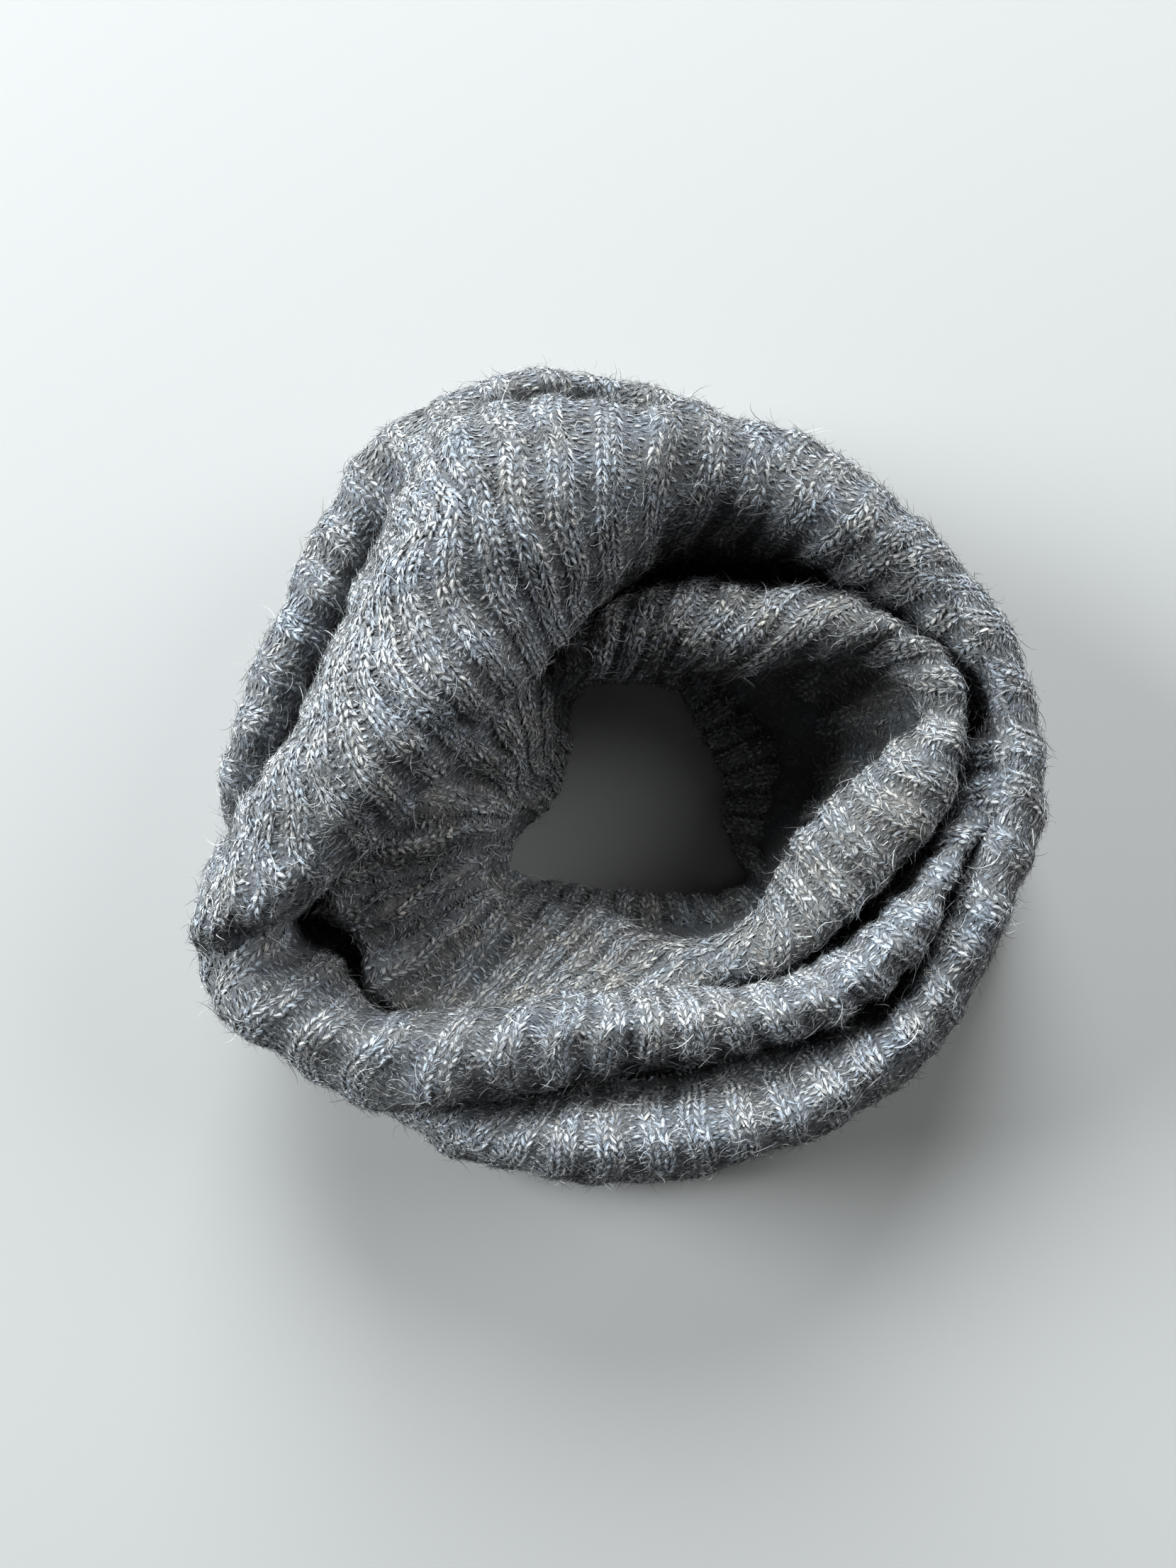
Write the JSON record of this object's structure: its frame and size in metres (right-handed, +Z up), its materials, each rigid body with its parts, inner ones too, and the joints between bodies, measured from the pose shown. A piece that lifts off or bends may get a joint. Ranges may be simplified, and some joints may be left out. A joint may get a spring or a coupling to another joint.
{
  "type": "infinity scarf",
  "caption": "Grey rib-knitted infinity scarf, folded on itself and heaped in a soft ring, lying flat on its underside.",
  "frame": {"origin": "middle of the underside of the heap's bounding box, on the surface it lies on", "axes": "+Z up from the surface, +X and +Y in the surface, with the overhanging broad panel towards -X +Y and the folded corner towards -X -Y"},
  "size_m": [0.2594, 0.2576, 0.1071],
  "materials": {
    "top_wool": "soft brushed grey melange wool, 2 x 2 rib",
    "outer_wool": "soft brushed grey melange wool, 2 x 2 rib",
    "inside_wool": "the same wool seen inside the ring, a little browner",
    "shaded_wool": "the same wool deep in the folds"
  },
  "bodies": {
    "root": {"top_turn": "top_wool", "outer_turn": "outer_wool", "lower_fold": "outer_wool", "inner_turn": "inside_wool", "lining_fold": "inside_wool", "hidden_layers": "shaded_wool"}
  },
  "joints": []
}
